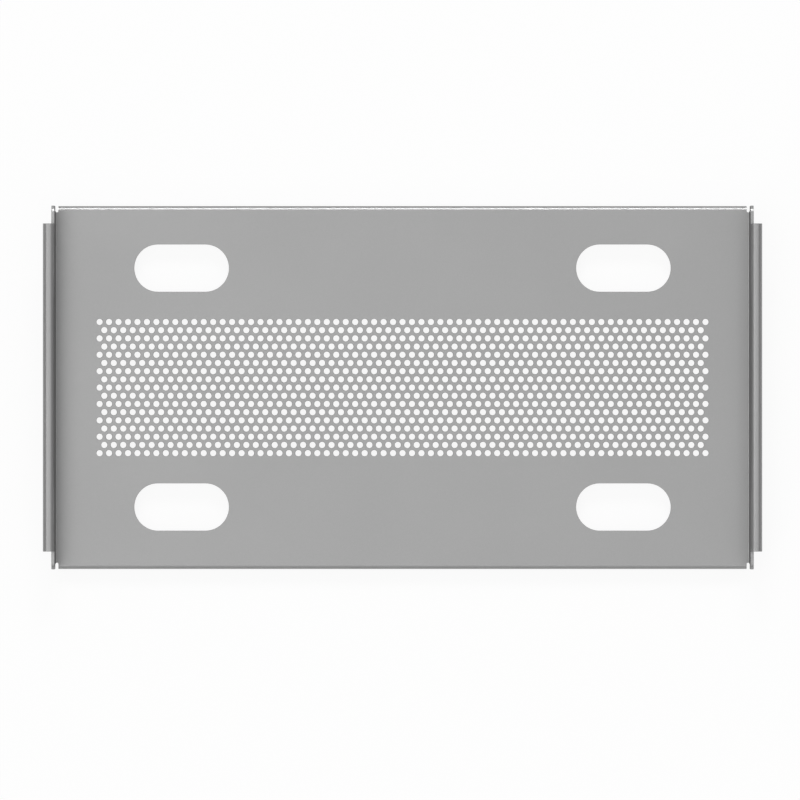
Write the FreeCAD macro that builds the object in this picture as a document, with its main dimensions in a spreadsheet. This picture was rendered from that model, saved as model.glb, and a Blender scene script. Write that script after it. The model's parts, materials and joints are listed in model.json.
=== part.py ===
import FreeCAD, Part
import math
import os
import Sketcher

# A shelf for a 19-inch rack, folded from one sheet of steel.
# The panel carries the load. Its two sides are folded up into walls, whose tops turn outward
# and down again into rails that hang over the rack's slides. Its front and rear edges are
# folded down into stiffening flanges. Four strap slots and a field of small holes are punched.
# Millimetres. X runs from the left wall to the right wall, Y from front to rear, Z up.
# The origin is midway between the walls, at the level of the flanges' lower edges.

SIZES = (
    ("sheet_thickness", 2.0, "Steel sheet"),
    ("bend_radius", 0.8, "Inside radius of every fold"),
    ("inner_width", 440.0, "Clear width between the two walls"),
    ("shelf_depth", 230.0, "Front face to rear face"),
    ("wall_height", 30.0, "Panel top to rail top"),
    ("flange_drop", 10.0, "Panel top to the flanges' lower edges"),
    ("rail_gap", 3.3, "Clear width of the channel under each rail"),
    ("rail_drop", 9.0, "Rail top to the lower edge of its skirt"),
    ("rail_inset", 11.3, "Front or rear face to the end of a rail"),
    ("wall_corner", 4.5, "Radius on the upper corners of the wall ends"),
    ("relief_width", 1.8, "Width of the slit between a flange and a wall"),
    ("relief_depth", 4.0, "Length of that slit from the front or rear face"),
    ("relief_wall_gap", 0.1, "Between the slit and the inner face of the wall"),
    ("slot_length", 60.0, "Strap slot, end to end"),
    ("slot_width", 30.0, "Strap slot, side to side"),
    ("slot_wall_margin", 50.0, "Wall to the near end of a strap slot"),
    ("slot_edge_margin", 24.3, "Front or rear face to the near side of a strap slot"),
    ("hole_diameter", 4.0, "Punched hole"),
    ("hole_pitch", 6.0, "Between the centres of neighbouring holes, three ways"),
    ("field_wall_margin", 27.5, "Least distance from a wall to the centre of a hole"),
    ("field_slot_margin", 19.0, "Least distance from a strap slot to the centre of a hole"),
    ("cut_margin", 1.0, "How far a cutting profile runs past the sheet"),
)

# The solid holds every second hole of every second row. A step of 1 punches the whole field.
HOLE_STEP = 2
# Each hole is a prism whose flats touch the round hole.
HOLE_SIDES = 6

HALF_WIDTH = "Sizes.inner_width / 2"
HALF_DEPTH = "Sizes.shelf_depth / 2"
OUTER_RADIUS = "(Sizes.bend_radius + Sizes.sheet_thickness)"
WALL_OUTER_FACE = f"({HALF_WIDTH} + Sizes.sheet_thickness)"
RAIL_OUTER_FACE = f"({WALL_OUTER_FACE} + Sizes.rail_gap + Sizes.sheet_thickness)"
RAIL_END = f"({HALF_DEPTH} - Sizes.rail_inset)"
RAIL_TOP = "(Sizes.flange_drop + Sizes.wall_height)"
WALL_TOP = f"({RAIL_TOP} - {OUTER_RADIUS})"
WALL_FOOT = "(Sizes.flange_drop + Sizes.bend_radius)"
RELIEF_MIDDLE = f"({HALF_WIDTH} - Sizes.relief_wall_gap - Sizes.relief_width / 2)"
SLOT_MIDDLE_X = f"({HALF_WIDTH} - Sizes.slot_wall_margin - Sizes.slot_length / 2)"
SLOT_MIDDLE_Y = f"({HALF_DEPTH} - Sizes.slot_edge_margin - Sizes.slot_width / 2)"
COLUMN_STEP = f"({HOLE_STEP} * Sizes.hole_pitch)"
ROW_STEP = f"({COLUMN_STEP} * sqrt(3))"
FIELD_HALF_WIDTH = f"({HALF_WIDTH} - Sizes.field_wall_margin)"
FIELD_HALF_DEPTH = f"({SLOT_MIDDLE_Y} - Sizes.slot_width / 2 - Sizes.field_slot_margin)"
COLUMNS = f"(floor(2 * {FIELD_HALF_WIDTH} / {COLUMN_STEP}) + 1)"
ROWS = f"(floor(2 * {FIELD_HALF_DEPTH} / {ROW_STEP}) + 1)"

START = 1
END = 2
CENTRE = 3
ORIGIN = (-1, START)
QUARTER = math.pi / 2
UP = FreeCAD.Vector(0, 0, 1)


def make_sheet(doc):
    """Write the driving dimensions into a spreadsheet, one aliased cell each."""
    sheet = doc.addObject("Spreadsheet::Sheet", "Sizes")
    for row, (alias, value, meaning) in enumerate(SIZES, start=1):
        sheet.set(f"A{row}", meaning)
        sheet.set(f"B{row}", str(value))
        sheet.setAlias(f"B{row}", alias)
    doc.recompute()
    return sheet


def plane(body, role):
    """The body's own origin plane with this role."""
    return next(item for item in body.Origin.OriginFeatures if item.Role == role)


def add_sketch(body, name, role):
    """A sketch on one of the body's origin planes."""
    sketch = body.newObject("Sketcher::SketchObject", name)
    sketch.AttachmentSupport = [(plane(body, role), "")]
    sketch.MapMode = "FlatFace"
    return sketch


def measure(sketch, expression):
    """The present value in millimetres of an expression over the sheet."""
    return float(sketch.evalExpression(expression))


def bind(sketch, kind, places, expression):
    """Add a dimension whose value follows the sheet."""
    index = sketch.addConstraint(Sketcher.Constraint(kind, *places, measure(sketch, expression)))
    sketch.setExpression(f"Constraints[{index}]", expression)


def bind_point(sketch, point, x_expression, y_expression):
    """Place a sketch point by its distances from the origin."""
    bind(sketch, "DistanceX", ORIGIN + point, x_expression)
    bind(sketch, "DistanceY", ORIGIN + point, y_expression)


def add_line(sketch, start, end):
    """A straight edge, held level or upright as it is drawn."""
    index = sketch.addGeometry(Part.LineSegment(start, end))
    level = abs(end.x - start.x) > abs(end.y - start.y)
    sketch.addConstraint(Sketcher.Constraint("Horizontal" if level else "Vertical", index))
    return index


def add_arc(sketch, centre, radius, start_angle, sweep):
    """An arc of a circle, anticlockwise."""
    circle = Part.Circle(centre, UP, radius)
    return sketch.addGeometry(Part.ArcOfCircle(circle, start_angle, start_angle + sweep))


def join(sketch, kind, first, second):
    """Tie two end points together, as a corner or as a tangent joint."""
    sketch.addConstraint(Sketcher.Constraint(kind, *first, *second))


def folded_outline(sketch, corner, heading, lengths, turns):
    """Draw the section of a folded sheet: straight runs joined by right-angle folds.

    corner is the left corner of the section's first end, heading the direction of its first run,
    lengths the straight length of each run, and turns +1 for a left fold or -1 for a right one.
    Returns the index of each run's left edge.
    """
    thickness = measure(sketch, "Sizes.sheet_thickness")
    inside = measure(sketch, "Sizes.bend_radius")
    outside = inside + thickness
    left_edges = []
    right_edges = []
    inner_arcs = []
    left = corner
    for number, expression in enumerate(lengths):
        normal = FreeCAD.Vector(-heading.y, heading.x, 0)
        right = left - normal * thickness
        run = heading * measure(sketch, expression)
        left_edges.append(add_line(sketch, left, left + run))
        right_edges.append(add_line(sketch, right, right + run))
        bind(sketch, "Distance", (left_edges[-1],), expression)
        if number > 0:
            for edges, arc in ((left_edges, left_arc), (right_edges, right_arc)):
                join(sketch, "Tangent", (arc, arc_exit), (edges[-1], START))
        if number == len(turns):
            break
        turn = turns[number]
        arc_entry, arc_exit = (START, END) if turn > 0 else (END, START)
        middle = (left + normal * inside if turn > 0 else right - normal * inside) + run
        first_side = normal * -turn if turn > 0 else heading
        start_angle = math.atan2(first_side.y, first_side.x)
        left_arc = add_arc(sketch, middle, inside if turn > 0 else outside, start_angle, QUARTER)
        right_arc = add_arc(sketch, middle, outside if turn > 0 else inside, start_angle, QUARTER)
        join(sketch, "Coincident", (left_arc, CENTRE), (right_arc, CENTRE))
        join(sketch, "Tangent", (left_edges[-1], END), (left_arc, arc_entry))
        join(sketch, "Tangent", (right_edges[-1], END), (right_arc, arc_entry))
        inner_arcs.append(left_arc if turn > 0 else right_arc)
        left = middle + heading * (inside if turn > 0 else outside)
        heading = normal * turn
    for place, edge in ((START, 0), (END, -1)):
        left_point = sketch.getPoint(left_edges[edge], place)
        right_point = sketch.getPoint(right_edges[edge], place)
        cap = add_line(sketch, left_point, right_point)
        join(sketch, "Coincident", (cap, START), (left_edges[edge], place))
        join(sketch, "Coincident", (cap, END), (right_edges[edge], place))
    bind(sketch, "Distance", (cap,), "Sizes.sheet_thickness")
    for arc in inner_arcs:
        bind(sketch, "Radius", (arc,), "Sizes.bend_radius")
    return left_edges


def rectangle(sketch, x_low, x_high, y_low, y_high):
    """Draw a rectangle between two corners."""
    low = FreeCAD.Vector(measure(sketch, x_low), measure(sketch, y_low), 0)
    high = FreeCAD.Vector(measure(sketch, x_high), measure(sketch, y_high), 0)
    corners = (low, FreeCAD.Vector(high.x, low.y, 0), high, FreeCAD.Vector(low.x, high.y, 0))
    edges = [add_line(sketch, corners[side - 1], corners[side]) for side in range(len(corners))]
    for side, edge in enumerate(edges):
        join(sketch, "Coincident", (edges[side - 1], END), (edge, START))
    bind_point(sketch, (edges[1], START), x_low, y_low)
    bind_point(sketch, (edges[3], START), x_high, y_high)


def obround(sketch, x_middle, y_middle, length, width, along_x):
    """Draw a round-ended slot about its middle, along X or along Y."""
    middle = FreeCAD.Vector(measure(sketch, x_middle), measure(sketch, y_middle), 0)
    radius = measure(sketch, f"{width} / 2")
    straight = measure(sketch, f"({length} - {width}) / 2")
    heading = FreeCAD.Vector(1, 0, 0) if along_x else FreeCAD.Vector(0, 1, 0)
    normal = FreeCAD.Vector(-heading.y, heading.x, 0)
    far, near = middle + heading * straight, middle - heading * straight
    right = add_line(sketch, near - normal * radius, far - normal * radius)
    left = add_line(sketch, far + normal * radius, near + normal * radius)
    first_angle = math.atan2(-normal.y, -normal.x)
    far_arc = add_arc(sketch, far, radius, first_angle, math.pi)
    near_arc = add_arc(sketch, near, radius, first_angle + math.pi, math.pi)
    loop = (right, far_arc, left, near_arc)
    for first, second in zip(loop, loop[1:] + loop[:1]):
        join(sketch, "Tangent", (first, END), (second, START))
    half_straight = f"({length} - {width}) / 2"
    x_far = f"{x_middle} + {half_straight}" if along_x else x_middle
    y_far = y_middle if along_x else f"{y_middle} + {half_straight}"
    bind_point(sketch, (far_arc, CENTRE), x_far, y_far)
    bind(sketch, "Distance", (right,), f"{length} - {width}")
    bind(sketch, "Radius", (far_arc,), f"{width} / 2")


def polygon_hole(sketch, x_middle, y_middle):
    """Draw one punched hole as a regular polygon whose flats touch the round hole."""
    reach_expression = f"Sizes.hole_diameter / 2 / cos(180deg / {HOLE_SIDES})"
    middle = FreeCAD.Vector(measure(sketch, x_middle), measure(sketch, y_middle), 0)
    reach = measure(sketch, reach_expression)
    circle = sketch.addGeometry(Part.Circle(middle, UP, reach), True)
    bind_point(sketch, (circle, CENTRE), x_middle, y_middle)
    bind(sketch, "Radius", (circle,), reach_expression)
    angles = [(2 * side + 1) * math.pi / HOLE_SIDES for side in range(HOLE_SIDES)]
    corners = [middle + FreeCAD.Vector(math.cos(a), math.sin(a), 0) * reach for a in angles]
    flats = []
    for side, corner in enumerate(corners):
        flats.append(sketch.addGeometry(Part.LineSegment(corners[side - 1], corner)))
        sketch.addConstraint(Sketcher.Constraint("PointOnObject", flats[-1], END, circle))
    for side, flat in enumerate(flats):
        join(sketch, "Coincident", (flats[side - 1], END), (flat, START))
    for flat in flats[1:]:
        sketch.addConstraint(Sketcher.Constraint("Equal", flats[0], flat))
    sketch.addConstraint(Sketcher.Constraint("Vertical", flats[0]))


def tray_section(body):
    """Section across the shelf: skirt, rail, wall, panel, wall, rail and skirt."""
    sketch = add_sketch(body, "TraySection", "XZ_Plane")
    skirt = f"Sizes.rail_drop - {OUTER_RADIUS}"
    rail = "Sizes.rail_gap - 2 * Sizes.bend_radius"
    wall = f"{WALL_TOP} - {WALL_FOOT}"
    panel = "Sizes.inner_width - 2 * Sizes.bend_radius"
    skirt_foot = measure(sketch, f"{RAIL_TOP} - Sizes.rail_drop")
    corner = FreeCAD.Vector(-measure(sketch, RAIL_OUTER_FACE), skirt_foot, 0)
    lengths = (skirt, rail, wall, panel, wall, rail, skirt)
    edges = folded_outline(sketch, corner, FreeCAD.Vector(0, 1, 0), lengths, (-1, -1, 1, 1, -1, -1))
    bind_point(sketch, (edges[3], END), f"{HALF_WIDTH} - Sizes.bend_radius", "Sizes.flange_drop")
    return sketch


def flange_section(body):
    """Section from front to rear: flange, panel and flange."""
    sketch = add_sketch(body, "FlangeSection", "YZ_Plane")
    flange = f"Sizes.flange_drop - {OUTER_RADIUS}"
    panel = f"Sizes.shelf_depth - 2 * {OUTER_RADIUS}"
    corner = FreeCAD.Vector(-measure(sketch, HALF_DEPTH), 0, 0)
    edges = folded_outline(sketch, corner, FreeCAD.Vector(0, 1, 0), (flange, panel, flange), (-1, -1))
    bind_point(sketch, (edges[1], END), f"{HALF_DEPTH} - {OUTER_RADIUS}", "Sizes.flange_drop")
    return sketch


def rail_end_outline(body):
    """Side outline of what is cut off above a wall end, with the wall's rounded corner."""
    sketch = add_sketch(body, "RailEndOutline", "YZ_Plane")
    wall_top = measure(sketch, WALL_TOP)
    rail_end = measure(sketch, RAIL_END)
    face = measure(sketch, HALF_DEPTH)
    radius = measure(sketch, "Sizes.wall_corner")
    y_past_face = f"{HALF_DEPTH} + Sizes.cut_margin"
    z_past_top = f"{RAIL_TOP} + Sizes.cut_margin"
    past_face = measure(sketch, y_past_face)
    past_top = measure(sketch, z_past_top)
    corner_low = wall_top - radius
    points = (
        FreeCAD.Vector(face, corner_low, 0),
        FreeCAD.Vector(past_face, corner_low, 0),
        FreeCAD.Vector(past_face, past_top, 0),
        FreeCAD.Vector(rail_end, past_top, 0),
        FreeCAD.Vector(rail_end, wall_top, 0),
        FreeCAD.Vector(face - radius, wall_top, 0),
    )
    edges = [add_line(sketch, start, end) for start, end in zip(points, points[1:])]
    for first, second in zip(edges, edges[1:]):
        join(sketch, "Coincident", (first, END), (second, START))
    arc = add_arc(sketch, FreeCAD.Vector(face - radius, corner_low, 0), radius, 0, QUARTER)
    join(sketch, "Tangent", (edges[-1], END), (arc, END))
    join(sketch, "Coincident", (edges[0], START), (arc, START))
    sketch.addConstraint(Sketcher.Constraint("Horizontal", arc, CENTRE, arc, START))
    bind(sketch, "Radius", (arc,), "Sizes.wall_corner")
    bind(sketch, "DistanceX", ORIGIN + (arc, START), HALF_DEPTH)
    bind_point(sketch, (edges[1], END), y_past_face, z_past_top)
    bind_point(sketch, (edges[3], END), RAIL_END, WALL_TOP)
    return sketch


def rail_end_strip(body):
    """Plan of the rail that is cut off beside a wall end."""
    sketch = add_sketch(body, "RailEndStrip", "XY_Plane")
    x_high = f"{RAIL_OUTER_FACE} + Sizes.cut_margin"
    rectangle(sketch, WALL_OUTER_FACE, x_high, RAIL_END, f"{HALF_DEPTH} + Sizes.cut_margin")
    return sketch


def panel_end_outline(body):
    """Side outline of the panel and its side folds that are cut off at one end."""
    sketch = add_sketch(body, "PanelEndOutline", "YZ_Plane")
    end = f"{HALF_DEPTH} - Sizes.relief_depth + Sizes.relief_width / 2"
    rectangle(sketch, end, f"{HALF_DEPTH} + Sizes.cut_margin", "-Sizes.cut_margin", WALL_FOOT)
    return sketch


def relief_slit(body):
    """Plan of the slit that parts a flange from a wall, open at the shelf's end."""
    sketch = add_sketch(body, "ReliefSlit", "XY_Plane")
    obround(sketch, RELIEF_MIDDLE, HALF_DEPTH, "2 * Sizes.relief_depth", "Sizes.relief_width", False)
    return sketch


def strap_slot(body):
    """Plan of one strap slot."""
    sketch = add_sketch(body, "StrapSlot", "XY_Plane")
    obround(sketch, SLOT_MIDDLE_X, SLOT_MIDDLE_Y, "Sizes.slot_length", "Sizes.slot_width", True)
    return sketch


def first_hole(body, name, columns, rows):
    """Plan of the front left hole of a centred rectangle of holes."""
    sketch = add_sketch(body, name, "XY_Plane")
    polygon_hole(sketch, f"-({columns} - 1) * {COLUMN_STEP} / 2", f"-({rows} - 1) * {ROW_STEP} / 2")
    return sketch


def pad(body, name, sketch, length):
    """Extrude a section equally to both sides of its plane."""
    feature = body.newObject("PartDesign::Pad", name)
    feature.Profile = sketch
    feature.SideType = "Symmetric"
    feature.setExpression("Length", length)
    body.Document.recompute()
    return feature


def punch(body, name, sketch):
    """Cut a profile right through the sheet, and make sure that it took metal away."""
    before = body.Shape.Volume
    feature = body.newObject("PartDesign::Pocket", name)
    feature.Profile = sketch
    feature.SideType = "Symmetric"
    feature.Type = "ThroughAll"
    feature.Type2 = "ThroughAll"
    body.Document.recompute()
    if not body.Shape.Volume < before:
        raise RuntimeError(f"{name} cuts nothing")
    return feature


def mirror_to_corners(body, name, features):
    """Repeat features drawn at the right rear corner at the other three."""
    repeat = body.newObject("PartDesign::MultiTransform", name)
    repeat.Originals = features
    mirrors = []
    for role in ("YZ_Plane", "XZ_Plane"):
        mirror = body.newObject("PartDesign::Mirrored", f"{name}{role[:2]}")
        mirror.MirrorPlane = (plane(body, role), [""])
        mirrors.append(mirror)
    repeat.Transformations = mirrors
    body.Tip = repeat
    body.Document.recompute()


def repeat_hole(body, name, hole, columns, rows):
    """Repeat one hole along the rows and from row to row."""
    pattern = body.newObject("PartDesign::LinearPattern", name)
    pattern.Originals = [hole]
    pattern.Refine = False
    sketch = hole.Profile[0]
    pattern.Direction = (sketch, ["H_Axis"])
    pattern.Direction2 = (sketch, ["V_Axis"])
    pattern.setExpression("Length", f"({columns} - 1) * {COLUMN_STEP}")
    pattern.setExpression("Length2", f"({rows} - 1) * {ROW_STEP}")
    pattern.setExpression("Occurrences", columns)
    pattern.setExpression("Occurrences2", rows)
    body.Tip = pattern
    body.Document.recompute()


def make_shelf(doc):
    """The whole shelf as one folded sheet."""
    body = doc.addObject("PartDesign::Body", "Shelf")
    body.Label = "shelf"
    pad(body, "Tray", tray_section(body), "Sizes.shelf_depth")
    ends = (
        punch(body, "RailEnd", rail_end_outline(body)),
        punch(body, "RailSide", rail_end_strip(body)),
        punch(body, "PanelEnd", panel_end_outline(body)),
    )
    mirror_to_corners(body, "FoldEnds", ends)
    pad(body, "Flanges", flange_section(body), f"2 * {RELIEF_MIDDLE}")
    cuts = (
        punch(body, "Relief", relief_slit(body)),
        punch(body, "Slot", strap_slot(body)),
    )
    mirror_to_corners(body, "CornerCuts", cuts)
    between_columns = f"({COLUMNS} - 1)"
    between_rows = f"({ROWS} - 1)"
    long_hole = punch(body, "LongRowHole", first_hole(body, "LongRowOutline", COLUMNS, ROWS))
    short_outline = first_hole(body, "ShortRowOutline", between_columns, between_rows)
    short_hole = punch(body, "ShortRowHole", short_outline)
    repeat_hole(body, "LongRows", long_hole, COLUMNS, ROWS)
    repeat_hole(body, "ShortRows", short_hole, between_columns, between_rows)
    return body


def check(doc, bodies):
    """Stop if any feature failed or a sub-part isn't one sound solid."""
    for item in doc.Objects:
        if {"Invalid", "Error"} & set(item.State):
            raise RuntimeError(f"{item.Name} failed: {item.State}")
        if item.isDerivedFrom("Sketcher::SketchObject") and not item.FullyConstrained:
            raise RuntimeError(f"{item.Name} isn't fully constrained")
    for body in bodies:
        shape = body.Shape
        if shape.isNull() or not shape.isValid() or len(shape.Solids) != 1:
            raise RuntimeError(f"{body.Label} isn't one valid solid")


def export(bodies):
    """Write each sub-part to its own STEP file, named by its label."""
    os.makedirs("parts", exist_ok=True)
    for body in bodies:
        body.Shape.exportStep(f"parts/{body.Label}.step")
        print(body.Label, "volume", round(body.Shape.Volume, 3), body.Shape.BoundBox)


def main():
    doc = FreeCAD.newDocument("rack_shelf")
    make_sheet(doc)
    bodies = [make_shelf(doc)]
    doc.recompute()
    check(doc, bodies)
    export(bodies)


main()
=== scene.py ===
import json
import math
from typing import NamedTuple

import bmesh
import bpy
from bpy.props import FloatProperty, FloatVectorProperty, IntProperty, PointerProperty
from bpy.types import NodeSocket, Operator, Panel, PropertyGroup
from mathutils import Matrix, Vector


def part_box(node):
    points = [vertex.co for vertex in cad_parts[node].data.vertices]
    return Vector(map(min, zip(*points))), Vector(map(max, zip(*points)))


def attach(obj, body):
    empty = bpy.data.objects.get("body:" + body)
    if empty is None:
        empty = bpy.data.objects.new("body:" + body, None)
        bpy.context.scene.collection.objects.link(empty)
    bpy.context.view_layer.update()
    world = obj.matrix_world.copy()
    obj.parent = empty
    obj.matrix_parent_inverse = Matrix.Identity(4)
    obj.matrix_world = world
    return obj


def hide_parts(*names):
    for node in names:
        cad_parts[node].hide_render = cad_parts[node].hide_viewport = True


bl_info = {
    "name": "Folded Rack Shelf",
    "version": (1, 0, 0),
    "blender": (4, 5, 0),
    "location": "View3D > Sidebar > Rack Shelf",
    "description": "Folds, punches and paints a sheet-steel rack shelf, and sets a small studio round it",
    "category": "Object",
}

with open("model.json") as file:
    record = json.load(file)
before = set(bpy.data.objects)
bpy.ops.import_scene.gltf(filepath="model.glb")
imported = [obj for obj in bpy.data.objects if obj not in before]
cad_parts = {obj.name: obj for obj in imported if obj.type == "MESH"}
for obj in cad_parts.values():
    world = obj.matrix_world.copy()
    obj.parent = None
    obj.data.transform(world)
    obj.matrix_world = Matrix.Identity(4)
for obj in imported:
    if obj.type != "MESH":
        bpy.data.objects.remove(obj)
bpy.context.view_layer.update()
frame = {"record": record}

# Lengths are metres. X runs from the left wall to the right wall, Y from front to rear, Z up.
NODE = "shelf"
BODY = "root"
MM = 0.001
LOW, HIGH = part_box(NODE)
MOUNTS = {mount["name"]: mount for mount in frame["record"]["mounts"]}
SLOT_DIMS = MOUNTS["strap_slots"]["dims"]
RAIL_DIMS = MOUNTS["left_rail"]["dims"]
SIDES = (-1, 1)


class ShelfSizes(PropertyGroup):
    """What the sheet is cut, folded and punched to."""

    width: FloatProperty(
        name="Width", description="Over the two rails", default=HIGH.x - LOW.x, unit="LENGTH"
    )
    depth: FloatProperty(
        name="Depth", description="Front face to rear face", default=HIGH.y - LOW.y, unit="LENGTH"
    )
    height: FloatProperty(
        name="Height", description="Flange feet to rail tops", default=HIGH.z - LOW.z, unit="LENGTH"
    )
    panel_level: FloatProperty(
        name="Panel Level",
        description="Flange feet to the panel's upper face",
        default=MOUNTS["load_face"]["pos_m"][2],
        unit="LENGTH",
    )
    sheet: FloatProperty(
        name="Sheet", description="Thickness of the steel", default=2 * MM, unit="LENGTH"
    )
    bend: FloatProperty(
        name="Bend", description="Inside radius of every fold", default=0.8 * MM, unit="LENGTH"
    )
    rail_gap: FloatProperty(
        name="Rail Gap", description="Channel under a rail", default=3.3 * MM, unit="LENGTH"
    )
    rail_drop: FloatProperty(
        name="Rail Drop", description="Rail top to the foot of its skirt", default=9 * MM, unit="LENGTH"
    )
    rail_length: FloatProperty(
        name="Rail Length",
        description="Front end to rear end of a rail",
        default=RAIL_DIMS["length_mm"] * MM,
        unit="LENGTH",
    )
    wall_corner: FloatProperty(
        name="Wall Corner", description="Radius on the wall ends", default=4.5 * MM, unit="LENGTH"
    )
    relief_width: FloatProperty(
        name="Relief Width",
        description="Slit between a flange and a wall",
        default=1.8 * MM,
        unit="LENGTH",
    )
    relief_depth: FloatProperty(
        name="Relief Depth", description="Length of that slit", default=4.0 * MM, unit="LENGTH"
    )
    relief_wall_gap: FloatProperty(
        name="Relief Gap", description="From that slit to the wall", default=0.1 * MM, unit="LENGTH"
    )
    slot_length: FloatProperty(
        name="Slot Length",
        description="Strap slot, end to end",
        default=SLOT_DIMS["slot_length_mm"] * MM,
        unit="LENGTH",
    )
    slot_width: FloatProperty(
        name="Slot Width",
        description="Strap slot, side to side",
        default=2 * SLOT_DIMS["hole_r_mm"] * MM,
        unit="LENGTH",
    )
    slot_spacing: FloatVectorProperty(
        name="Slot Spacing",
        description="Between the middles of the strap slots, across and from front to rear",
        default=(SLOT_DIMS["spacing_x_mm"] * MM, SLOT_DIMS["spacing_y_mm"] * MM),
        size=2,
        unit="LENGTH",
    )
    hole: FloatProperty(
        name="Hole", description="Diameter of a vent hole", default=4 * MM, unit="LENGTH"
    )
    hole_pitch: FloatProperty(
        name="Hole Pitch", description="Between neighbouring vent holes", default=6 * MM, unit="LENGTH"
    )
    hole_columns: IntProperty(name="Columns", description="Vent holes in a long row", default=65, min=2)
    hole_rows: IntProperty(name="Long Rows", description="Long rows of vent holes", default=9, min=2)
    edge_break: FloatProperty(
        name="Edge Break", description="Softened width of a cut edge", default=0.2 * MM, unit="LENGTH"
    )


class ShelfFinish(PropertyGroup):
    """The silver powder coat."""

    colour: FloatVectorProperty(
        name="Colour", description="Silver-grey of the coat", default=(0.40, 0.40, 0.40), subtype="COLOR"
    )
    metallic: FloatProperty(
        name="Metallic",
        description="Share of metal flake",
        default=0.9,
        min=0,
        max=1,
        subtype="FACTOR",
    )
    flop: FloatProperty(
        name="Flop",
        description="Brightness that the flake keeps at a flat angle",
        default=0.25,
        min=0,
        max=1,
        subtype="FACTOR",
    )
    roughness: FloatProperty(
        name="Roughness", description="Satin of the coat", default=0.42, min=0, max=1, subtype="FACTOR"
    )
    flake: FloatProperty(
        name="Flake", description="Size of a metal flake", default=0.15 * MM, unit="LENGTH"
    )
    peel: FloatProperty(
        name="Peel", description="Spacing of the coat's soft ripple", default=2.2 * MM, unit="LENGTH"
    )


class ShelfStage(PropertyGroup):
    """Floor, lamps and camera."""

    floor_colour: FloatVectorProperty(
        name="Floor", description="Colour of the floor", default=(0.95, 0.95, 0.95), subtype="COLOR"
    )
    floor_glow: FloatProperty(
        name="Floor Glow",
        description="Share of plain white in the floor",
        default=0.9,
        min=0,
        max=1,
        subtype="FACTOR",
    )
    ambient: FloatProperty(name="Ambient", description="Level of the room", default=0.27, min=0)
    top_level: FloatProperty(
        name="Top Light", description="Level of the lamp overhead", default=0.41, min=0
    )
    left_level: FloatProperty(
        name="Left Light", description="Level of the left lamp", default=0.94, min=0
    )
    rear_level: FloatProperty(
        name="Rear Light", description="Level of the small rear lamp", default=10.5, min=0
    )
    front_level: FloatProperty(
        name="Front Light", description="Level of the front lamp", default=0.47, min=0
    )
    corner_level: FloatProperty(
        name="Corner Light", description="Level of the four low lamps", default=0.7, min=0
    )
    lamp_distance: FloatProperty(
        name="Lamp Distance", description="From the shelf to each lamp", default=9.0, unit="LENGTH"
    )
    camera_height: FloatProperty(
        name="Camera Height", description="Above the panel", default=10.0, unit="LENGTH"
    )
    view_width: FloatProperty(
        name="View Width", description="Width of the picture at the panel", default=0.507, unit="LENGTH"
    )
    view_centre: FloatVectorProperty(
        name="View Centre",
        description="Point of the panel in the middle of the picture",
        default=(-1.6 * MM, -7.9 * MM),
        size=2,
        unit="LENGTH",
    )


# Folding

BEND_STEPS = 8
CORNER_STEPS = 8
# A narrow flat row beside a fold keeps the fold's soft shading off the large faces.
GUARD = 0.5 * MM
# Points nearer to each other than this are one.
WELD = 0.001 * MM
# Edges that turn more than this are softened.
EDGE_ANGLE = math.radians(40)
# Edges that turn less than this are shaded smooth.
SMOOTH_ANGLE = math.radians(30)


def arc(centre, radius, first, last, steps):
    """Points on a circle from one angle to another, both ends included, in degrees."""
    turns = [math.radians(first + (last - first) * step / steps) for step in range(steps + 1)]
    return [(centre[0] + radius * math.cos(turn), centre[1] + radius * math.sin(turn)) for turn in turns]


class FoldLines:
    """Middle lines of the folded sheet, worked out from its sizes."""

    def __init__(self, sizes):
        half_sheet = sizes.sheet / 2
        self.bend = sizes.bend + half_sheet
        self.panel_z = sizes.panel_level - half_sheet
        self.rail_z = sizes.height - half_sheet
        self.skirt_x = sizes.width / 2 - half_sheet
        self.wall_x = self.skirt_x - sizes.rail_gap - sizes.sheet
        self.skirt_foot = sizes.height - sizes.rail_drop
        self.flange_y = sizes.depth / 2 - half_sheet
        self.face_y = sizes.depth / 2
        self.rail_end = sizes.rail_length / 2
        self.panel_end = self.face_y - sizes.relief_depth + sizes.relief_width / 2
        self.bend_x = self.wall_x - self.bend
        self.wall_foot = self.panel_z + self.bend
        self.wall_top = self.rail_z - self.bend
        wall_face = self.wall_x - half_sheet
        self.relief_x = wall_face - sizes.relief_wall_gap - sizes.relief_width / 2
        self.wall_corner = sizes.wall_corner


def add_strips(sheet, rows):
    """Join neighbouring rows of points with quads."""
    for lower, upper in zip(rows, rows[1:]):
        for near in range(len(lower) - 1):
            corners = (lower[near], lower[near + 1], upper[near + 1], upper[near])
            sheet.faces.new([sheet.verts.new(corner) for corner in corners])


def add_panel(sheet, lines):
    """The flat panel, in strips that meet the side folds and the flanges."""
    columns = (-lines.bend_x, -lines.relief_x, lines.relief_x, lines.bend_x)
    rows = (-lines.panel_end, -lines.rail_end, lines.rail_end, lines.panel_end)
    add_strips(sheet, [[(x, y, lines.panel_z) for x in columns] for y in rows])


def add_flange(sheet, lines, side):
    """The fold along the front or rear edge, and the flange below it."""
    centre = (lines.flange_y - lines.bend, lines.panel_z - lines.bend)
    section = [(lines.panel_end, lines.panel_z)]
    section += arc(centre, lines.bend, 90, 0, BEND_STEPS)
    section += [(lines.flange_y, centre[1] - GUARD), (lines.flange_y, 0)]
    add_strips(sheet, [[(x, side * y, z) for x in (-lines.relief_x, lines.relief_x)] for y, z in section])


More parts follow.
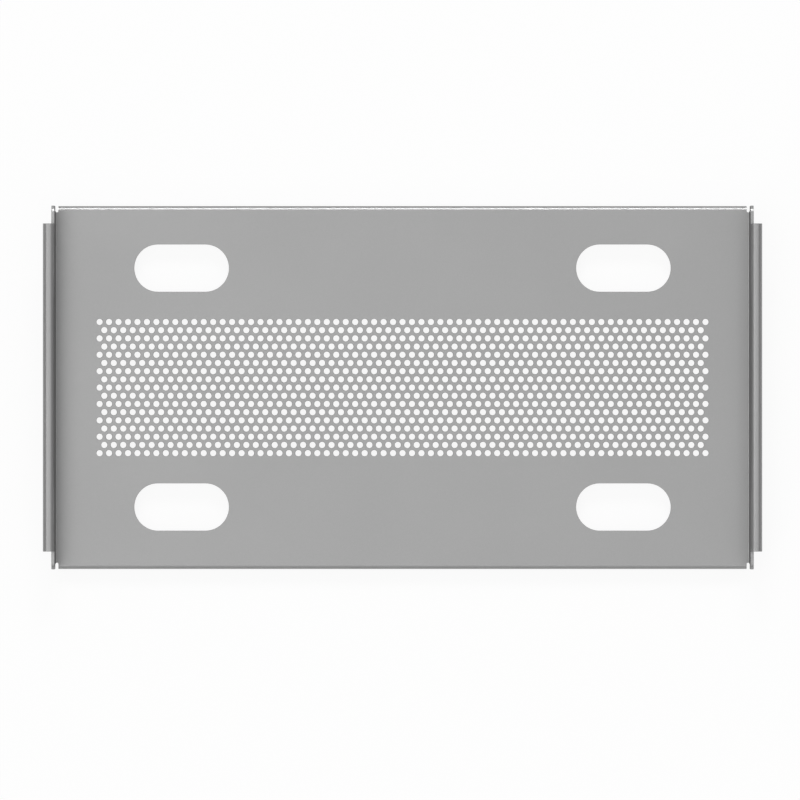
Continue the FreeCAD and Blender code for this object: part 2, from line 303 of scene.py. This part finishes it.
def add_wall(sheet, lines, side):
    """One side: its fold, wall, rail and skirt, and the two rounded wall ends."""
    foot_fold = arc((lines.bend_x, lines.wall_foot), lines.bend, -90, 0, BEND_STEPS)
    foot_fold.append((lines.wall_x, lines.wall_foot + GUARD))
    stations = (-lines.panel_end, -lines.rail_end, lines.rail_end, lines.panel_end)
    add_strips(sheet, [[(side * x, y, z) for y in stations] for x, z in foot_fold])
    section = [(lines.wall_x, lines.wall_foot + GUARD), (lines.wall_x, lines.wall_top - GUARD)]
    section += arc((lines.wall_x + lines.bend, lines.wall_top), lines.bend, 180, 90, BEND_STEPS)
    section += arc((lines.skirt_x - lines.bend, lines.wall_top), lines.bend, 90, 0, BEND_STEPS)
    section += [(lines.skirt_x, lines.wall_top - GUARD), (lines.skirt_x, lines.skirt_foot)]
    rail_stations = (-lines.rail_end, lines.rail_end)
    add_strips(sheet, [[(side * x, y, z) for y in rail_stations] for x, z in section])
    corner = (lines.face_y - lines.wall_corner, lines.wall_top - lines.wall_corner)
    outline = [
        (lines.panel_end, lines.wall_foot + GUARD),
        (lines.panel_end, lines.wall_foot),
        (lines.face_y, lines.wall_foot),
        *arc(corner, lines.wall_corner, 0, 90, CORNER_STEPS),
        (lines.rail_end, lines.wall_top),
        (lines.rail_end, lines.wall_top - GUARD),
        (lines.rail_end, lines.wall_foot + GUARD),
    ]
    for end in SIDES:
        sheet.faces.new([sheet.verts.new((side * lines.wall_x, end * y, z)) for y, z in outline])


def folded_sheet(lines):
    """Middle surface of the folded sheet as one mesh."""
    sheet = bmesh.new()
    add_panel(sheet, lines)
    for side in SIDES:
        add_flange(sheet, lines, side)
        add_wall(sheet, lines, side)
    bmesh.ops.remove_doubles(sheet, verts=sheet.verts, dist=WELD)
    bmesh.ops.recalc_face_normals(sheet, faces=sheet.faces)
    mesh = bpy.data.meshes.new("folded_sheet")
    sheet.to_mesh(mesh)
    sheet.free()
    return mesh


def thicken(shelf, sizes):
    """Give the middle surface the sheet's thickness and soften its cut edges."""
    thick = shelf.modifiers.new("thickness", "SOLIDIFY")
    thick.thickness = sizes.sheet
    thick.offset = 0
    thick.use_even_offset = True
    soft = shelf.modifiers.new("soft_edges", "BEVEL")
    soft.width = sizes.edge_break
    soft.segments = 1
    soft.limit_method = "ANGLE"
    soft.angle_limit = EDGE_ANGLE
    soft.use_clamp_overlap = False


# Nodes


def combined(tree, operation, first, second):
    """One step of arithmetic on two values, each a number or another node's output."""
    node = tree.nodes.new("ShaderNodeMath")
    node.operation = operation
    for socket, value in zip(node.inputs, (first, second)):
        if isinstance(value, NodeSocket):
            tree.links.new(value, socket)
        else:
            socket.default_value = value
    return node.outputs[0]


def noise(tree, place, scale, detail):
    """Soft noise over a place, with its scale in waves to the metre."""
    node = tree.nodes.new("ShaderNodeTexNoise")
    node.inputs["Scale"].default_value = scale
    node.inputs["Detail"].default_value = detail
    tree.links.new(place, node.inputs["Vector"])
    return node.outputs["Fac"]


def mapped(tree, source, values, reach=(0, 1)):
    """Map a source that runs over a reach onto a range of values."""
    node = tree.nodes.new("ShaderNodeMapRange")
    sockets = ("From Min", "From Max", "To Min", "To Max")
    for socket, value in zip(sockets, (*reach, *values)):
        node.inputs[socket].default_value = value
    tree.links.new(source, node.inputs["Value"])
    return node.outputs[0]


def new_material(name):
    """An empty node material: itself, its node tree and the socket for its surface."""
    material = bpy.data.materials.new(name)
    material.use_nodes = True
    tree = material.node_tree
    tree.nodes.clear()
    return material, tree, tree.nodes.new("ShaderNodeOutputMaterial").inputs["Surface"]


# Punching

HOLE_STEPS = 8
SLOT_STEPS = 24
RELIEF_STEPS = 8
# How far a relief punch runs past the sheet.
PUNCH_MARGIN = 1 * MM
PATTERN_INPUTS = (
    ("Geometry", "NodeSocketGeometry"),
    ("Punch", "NodeSocketObject"),
    ("Columns", "NodeSocketInt"),
    ("Rows", "NodeSocketInt"),
    ("Column Pitch", "NodeSocketFloat"),
    ("Row Pitch", "NodeSocketFloat"),
    ("Finish", "NodeSocketMaterial"),
)


def slot_outline(length, width, steps):
    """Round-ended outline along X, with this many steps on each half circle."""
    straight = (length - width) / 2
    right_end = arc((straight, 0), width / 2, -90, 90, steps)
    left_end = arc((-straight, 0), width / 2, 90, 270, steps)
    if straight < WELD:
        # The two ends of a round hole share their end points.
        return right_end[:-1] + left_end[:-1]
    return right_end + left_end


def punch(name, length, width, steps, levels, along_y=False):
    """A closed punch whose outline is widened by a given amount at each level."""
    tool = bmesh.new()
    loops = []
    for level, spread in levels:
        outline = slot_outline(length + 2 * spread, width + 2 * spread, steps)
        turned = [(-y, x) for x, y in outline] if along_y else outline
        loops.append([tool.verts.new((x, y, level)) for x, y in turned])
    for lower, upper in zip(loops, loops[1:]):
        for index in range(len(lower)):
            tool.faces.new((lower[index - 1], lower[index], upper[index], upper[index - 1]))
    tool.faces.new(reversed(loops[0]))
    tool.faces.new(loops[-1])
    mesh = bpy.data.meshes.new(name)
    tool.to_mesh(mesh)
    tool.free()
    return bpy.data.objects.new(name, mesh)


def through_levels(sizes):
    """Levels of a punch that breaks the edge on both faces of the panel."""
    top = sizes.panel_level
    bottom = top - sizes.sheet
    soft = sizes.edge_break
    return ((bottom - soft, 2 * soft), (bottom + soft, 0), (top - soft, 0), (top + soft, 2 * soft))


def pattern_tree():
    """Geometry nodes that punch one tool through a sheet in a centred rectangular pattern."""
    tree = bpy.data.node_groups.new("punch_pattern", "GeometryNodeTree")
    for name, kind in PATTERN_INPUTS:
        tree.interface.new_socket(name, in_out="INPUT", socket_type=kind)
    tree.interface.new_socket("Geometry", in_out="OUTPUT", socket_type="NodeSocketGeometry")
    nodes, links = tree.nodes, tree.links
    given = nodes.new("NodeGroupInput").outputs
    grid = nodes.new("GeometryNodeMeshGrid")
    for axis, count, pitch in (("X", "Columns", "Column Pitch"), ("Y", "Rows", "Row Pitch")):
        gaps = combined(tree, "SUBTRACT", given[count], 1)
        span = combined(tree, "MULTIPLY", gaps, given[pitch])
        links.new(span, grid.inputs[f"Size {axis}"])
        links.new(given[count], grid.inputs[f"Vertices {axis}"])
    tool = nodes.new("GeometryNodeObjectInfo")
    links.new(given["Punch"], tool.inputs["Object"])
    repeat = nodes.new("GeometryNodeInstanceOnPoints")
    links.new(grid.outputs["Mesh"], repeat.inputs["Points"])
    links.new(tool.outputs["Geometry"], repeat.inputs["Instance"])
    tools = nodes.new("GeometryNodeRealizeInstances")
    links.new(repeat.outputs[0], tools.inputs[0])
    cut = nodes.new("GeometryNodeMeshBoolean")
    cut.operation = "DIFFERENCE"
    cut.solver = "MANIFOLD"
    links.new(given["Geometry"], cut.inputs[0])
    links.new(tools.outputs[0], cut.inputs[1])
    plain = nodes.new("GeometryNodeRealizeInstances")
    links.new(cut.outputs[0], plain.inputs[0])
    finish = nodes.new("GeometryNodeSetMaterial")
    links.new(plain.outputs[0], finish.inputs["Geometry"])
    links.new(given["Finish"], finish.inputs["Material"])
    result = nodes.new("NodeGroupOutput")
    links.new(finish.outputs[0], result.inputs[0])
    return tree


def add_pattern(shelf, tree, values):
    """Add one punching step to the shelf, with its inputs given by name."""
    step = shelf.modifiers.new(values["Punch"].name, "NODES")
    step.node_group = tree
    for item in tree.interface.items_tree:
        if item.in_out == "INPUT" and item.name in values:
            step[item.identifier] = values[item.name]


def punching_steps(sizes, lines):
    """Each punch with its pattern: columns, rows and the pitch each way."""
    relief_levels = ((-PUNCH_MARGIN, 0), (sizes.panel_level + PUNCH_MARGIN, 0))
    through = through_levels(sizes)
    relief = punch("relief", 2 * sizes.relief_depth, sizes.relief_width, RELIEF_STEPS, relief_levels, True)
    slot = punch("strap_slot", sizes.slot_length, sizes.slot_width, SLOT_STEPS, through)
    hole = punch("vent_hole", sizes.hole, sizes.hole, HOLE_STEPS, through)
    # The rows are staggered, so long rows lie two rows apart with a short row between them.
    row_pitch = sizes.hole_pitch * math.sqrt(3)
    return (
        (relief, 2, 2, 2 * lines.relief_x, 2 * lines.face_y),
        (slot, 2, 2, *sizes.slot_spacing),
        (hole, sizes.hole_columns, sizes.hole_rows, sizes.hole_pitch, row_pitch),
        (hole, sizes.hole_columns - 1, sizes.hole_rows - 1, sizes.hole_pitch, row_pitch),
    )


def add_punching(shelf, sizes, lines, paint):
    """Punch the slits, slots and vent holes. Returns the punches that were used."""
    tree = pattern_tree()
    steps = punching_steps(sizes, lines)
    for tool, columns, rows, column_pitch, row_pitch in steps:
        values = {
            "Punch": tool,
            "Columns": columns,
            "Rows": rows,
            "Column Pitch": column_pitch,
            "Row Pitch": row_pitch,
            "Finish": paint,
        }
        add_pattern(shelf, tree, values)
    return {step[0] for step in steps}


def plain_mesh(shelf):
    """Turn the shelf and its modifiers into a plain mesh."""
    depsgraph = bpy.context.evaluated_depsgraph_get()
    mesh = bpy.data.meshes.new_from_object(shelf.evaluated_get(depsgraph), depsgraph=depsgraph)
    shelf.modifiers.clear()
    shelf.data = mesh
    return mesh


# Paint

# Shades are shares of the coat's colour, and the satin is how far a flake's roughness strays.
FLAKE_SHADES = (0.95, 1.05)
FLAKE_SATIN = 0.04
CLOUD_SCALE = 14
CLOUD_DETAIL = 3
CLOUD_REACH = (0.3, 0.7)
CLOUD_SHADES = (0.985, 1.015)
PEEL_DETAIL = 1
PEEL_STRENGTH = 0.25
PEEL_HEIGHT = 0.02 * MM


def powder_coat(finish):
    """Satin silver powder coat: fine metal flake, faint clouds and a soft ripple."""
    material, tree, surface = new_material("silver_powder_coat")
    coat = tree.nodes.new("ShaderNodeBsdfPrincipled")
    coat.inputs["Metallic"].default_value = finish.metallic
    coat.inputs["Specular Tint"].default_value = (finish.flop, finish.flop, finish.flop, 1)
    tree.links.new(coat.outputs[0], surface)
    place = tree.nodes.new("ShaderNodeTexCoord").outputs["Object"]

    flake = tree.nodes.new("ShaderNodeTexVoronoi")
    flake.inputs["Scale"].default_value = 1 / finish.flake
    tree.links.new(place, flake.inputs["Vector"])
    grain = tree.nodes.new("ShaderNodeSeparateColor")
    tree.links.new(flake.outputs["Color"], grain.inputs[0])
    glint = mapped(tree, grain.outputs[0], FLAKE_SHADES)
    cloud = mapped(tree, noise(tree, place, CLOUD_SCALE, CLOUD_DETAIL), CLOUD_SHADES, CLOUD_REACH)
    colour = tree.nodes.new("ShaderNodeVectorMath")
    colour.operation = "SCALE"
    colour.inputs[0].default_value = finish.colour
    tree.links.new(combined(tree, "MULTIPLY", glint, cloud), colour.inputs["Scale"])
    tree.links.new(colour.outputs[0], coat.inputs["Base Color"])

    satin = (finish.roughness - FLAKE_SATIN, finish.roughness + FLAKE_SATIN)
    tree.links.new(mapped(tree, grain.outputs[1], satin), coat.inputs["Roughness"])

    ripple = tree.nodes.new("ShaderNodeBump")
    ripple.inputs["Strength"].default_value = PEEL_STRENGTH
    ripple.inputs["Distance"].default_value = PEEL_HEIGHT
    tree.links.new(noise(tree, place, 1 / finish.peel, PEEL_DETAIL), ripple.inputs["Height"])
    tree.links.new(ripple.outputs[0], coat.inputs["Normal"])
    return material


class SHELF_OT_make_shelf(Operator):
    """Fold the sheet, soften its edges, punch it and paint it"""

    bl_idname = "rack_shelf.make_shelf"
    bl_label = "Make Shelf"

    def execute(self, context):
        sizes = context.scene.shelf_sizes
        lines = FoldLines(sizes)
        paint = powder_coat(context.scene.shelf_finish)
        shelf = bpy.data.objects.new("folded_shelf", folded_sheet(lines))
        context.scene.collection.objects.link(shelf)
        shelf.data.materials.append(paint)
        thicken(shelf, sizes)
        punches = add_punching(shelf, sizes, lines, paint)
        mesh = plain_mesh(shelf)
        for tool in punches:
            bpy.data.objects.remove(tool)
        mesh.name = "folded_shelf"
        mesh.shade_smooth()
        mesh.set_sharp_from_angle(angle=SMOOTH_ANGLE)
        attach(shelf, BODY)
        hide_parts(NODE)
        return {"FINISHED"}


# Stage

FLOOR_RADIUS = 12.0
FLOOR_SIDES = 64
# Width of the camera's sensor in millimetres.
SENSOR = 36.0
# The camera sees this many times as far as the panel.
CLIP_RATIO = 4


class Softbox(NamedTuple):
    """A soft lamp, placed and sized in degrees as the shelf sees it.

    It leans from overhead and is turned round from +X. Its level is a setting of the stage.
    """

    name: str
    lean: float
    turn: float
    half_width: float
    half_height: float
    level: str


CORNER_TURNS = (45, 135, 225, 315)
SOFTBOXES = (
    Softbox("top_softbox", lean=0, turn=0, half_width=27, half_height=27, level="top_level"),
    Softbox("left_softbox", lean=18, turn=180, half_width=27, half_height=14, level="left_level"),
    Softbox("rear_softbox", lean=50, turn=90, half_width=12, half_height=8, level="rear_level"),
    Softbox("front_softbox", lean=42, turn=270, half_width=28, half_height=26, level="front_level"),
    *(
        Softbox(
            f"corner_softbox_{turn}", lean=70, turn=turn, half_width=20, half_height=15, level="corner_level"
        )
        for turn in CORNER_TURNS
    ),
)


def floor_material(stage):
    """Pale floor that reads as white, also in reflections, and keeps a faint shadow."""
    material, tree, surface = new_material("pale_floor")
    paper = tree.nodes.new("ShaderNodeBsdfDiffuse")
    paper.inputs["Color"].default_value = (*stage.floor_colour, 1)
    white = tree.nodes.new("ShaderNodeEmission")
    rays = tree.nodes.new("ShaderNodeLightPath").outputs
    seen = combined(tree, "MAXIMUM", rays["Is Camera Ray"], rays["Is Glossy Ray"])
    shown = combined(tree, "MAXIMUM", seen, rays["Is Transmission Ray"])
    blend = tree.nodes.new("ShaderNodeMixShader")
    tree.links.new(combined(tree, "MULTIPLY", shown, stage.floor_glow), blend.inputs[0])
    tree.links.new(paper.outputs[0], blend.inputs[1])
    tree.links.new(white.outputs[0], blend.inputs[2])
    tree.links.new(blend.outputs[0], surface)
    return material


def make_floor(context, stage):
    """A wide round floor under the flanges."""
    disc = bmesh.new()
    bmesh.ops.create_circle(disc, cap_ends=True, segments=FLOOR_SIDES, radius=FLOOR_RADIUS)
    mesh = bpy.data.meshes.new("floor")
    disc.to_mesh(mesh)
    disc.free()
    floor = bpy.data.objects.new("floor", mesh)
    mesh.materials.append(floor_material(stage))
    context.scene.collection.objects.link(floor)


def hang_softbox(context, stage, box):
    """Hang one lamp at its place, facing the shelf."""
    distance = stage.lamp_distance
    lean, turn = math.radians(box.lean), math.radians(box.turn)
    out = distance * math.sin(lean)
    place = Vector((out * math.cos(turn), out * math.sin(turn), distance * math.cos(lean)))
    lamp = bpy.data.lights.new(box.name, "AREA")
    lamp.shape = "RECTANGLE"
    lamp.size = 2 * distance * math.tan(math.radians(box.half_width))
    lamp.size_y = 2 * distance * math.tan(math.radians(box.half_height))
    lamp.energy = getattr(stage, box.level) * math.pi * lamp.size * lamp.size_y
    holder = bpy.data.objects.new(box.name, lamp)
    holder.location = place
    holder.rotation_euler = (-place).to_track_quat("-Z", "Y").to_euler()
    holder.visible_camera = False
    context.scene.collection.objects.link(holder)


def make_lights(context, stage):
    """A dim room, broad lamps overhead, left and in front, a small bright one behind and four low ones."""
    world = bpy.data.worlds.new("room")
    world.use_nodes = True
    world.node_tree.nodes["Background"].inputs["Color"].default_value = (1, 1, 1, 1)
    world.node_tree.nodes["Background"].inputs["Strength"].default_value = stage.ambient
    context.scene.world = world
    for box in SOFTBOXES:
        hang_softbox(context, stage, box)


def make_camera(context, stage, panel_level):
    """A far camera straight above the panel."""
    lens = bpy.data.cameras.new("camera")
    lens.sensor_width = SENSOR
    lens.lens = SENSOR * stage.camera_height / stage.view_width
    lens.clip_end = CLIP_RATIO * stage.camera_height
    camera = bpy.data.objects.new("camera", lens)
    camera.location = (*stage.view_centre, panel_level + stage.camera_height)
    context.scene.collection.objects.link(camera)
    context.scene.camera = camera


class SHELF_OT_make_stage(Operator):
    """Lay the floor, hang the lamps and place the camera"""

    bl_idname = "rack_shelf.make_stage"
    bl_label = "Make Stage"

    def execute(self, context):
        stage = context.scene.shelf_stage
        make_floor(context, stage)
        make_lights(context, stage)
        make_camera(context, stage, context.scene.shelf_sizes.panel_level)
        context.scene.view_settings.view_transform = "Standard"
        return {"FINISHED"}


class SHELF_PT_panel(Panel):
    """Lists the steps and the sizes that they use"""

    bl_label = "Rack Shelf"
    bl_idname = "SHELF_PT_panel"
    bl_space_type = "VIEW_3D"
    bl_region_type = "UI"
    bl_category = "Rack Shelf"

    def draw(self, context):
        for operator, settings in (
            (SHELF_OT_make_shelf, (context.scene.shelf_sizes, context.scene.shelf_finish)),
            (SHELF_OT_make_stage, (context.scene.shelf_stage,)),
        ):
            box = self.layout.box()
            for group in settings:
                for name in group.__annotations__:
                    box.prop(group, name)
            box.operator(operator.bl_idname)


CLASSES = (
    ShelfSizes,
    ShelfFinish,
    ShelfStage,
    SHELF_OT_make_shelf,
    SHELF_OT_make_stage,
    SHELF_PT_panel,
)


def register():
    """Register the classes and give the scene their settings."""
    for item in CLASSES:
        bpy.utils.register_class(item)
    bpy.types.Scene.shelf_sizes = PointerProperty(type=ShelfSizes)
    bpy.types.Scene.shelf_finish = PointerProperty(type=ShelfFinish)
    bpy.types.Scene.shelf_stage = PointerProperty(type=ShelfStage)


def unregister():
    """Take back what register added."""
    del bpy.types.Scene.shelf_stage
    del bpy.types.Scene.shelf_finish
    del bpy.types.Scene.shelf_sizes
    for item in reversed(CLASSES):
        bpy.utils.unregister_class(item)


def main():
    """Make the shelf, then the stage."""
    register()
    bpy.ops.rack_shelf.make_shelf()
    bpy.ops.rack_shelf.make_stage()


if __name__ == "__main__":
    main()
